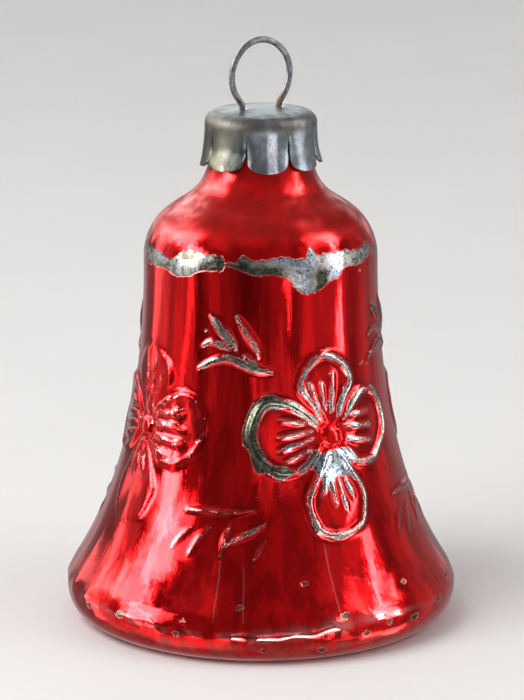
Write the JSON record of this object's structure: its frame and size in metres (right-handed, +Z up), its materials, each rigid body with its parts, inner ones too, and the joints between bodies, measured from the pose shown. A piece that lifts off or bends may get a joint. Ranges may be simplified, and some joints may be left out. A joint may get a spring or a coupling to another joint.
{
  "type": "bell ornament",
  "caption": "Hollow bell-shaped hanging ornament of thin mirrored glass in red lacquer, with a scalloped metal cap that lifts off and a bent wire hanger loop.",
  "frame": {"origin": "centre of the flat ring under the bell, on the bell's axis", "axes": "+Z up along the bell's axis, hanger loop in the XZ plane, -Y is the front"},
  "size_m": [0.0472, 0.0472, 0.0706],
  "materials": {
    "lacquer": "gloss",
    "glass": "gloss",
    "silvering": "polished",
    "cap_metal": "satin",
    "wire_steel": "satin"
  },
  "bodies": {
    "bell": {"glass_shell": "glass", "silver_lining": "silvering", "red_lacquer": "lacquer"},
    "cap": {"crown_cap": "cap_metal"},
    "hanger": {"hanger_wire": "wire_steel"}
  },
  "joints": [
    {"name": "cap_lift", "type": "slide", "parent": "bell", "child": "cap", "axis": [0, 0, 1], "range_m": [0, 0.022]},
    {"name": "hanger_pull", "type": "slide", "parent": "cap", "child": "hanger", "axis": [0, 0, 1], "range_m": [0, 0.0024]}
  ]
}
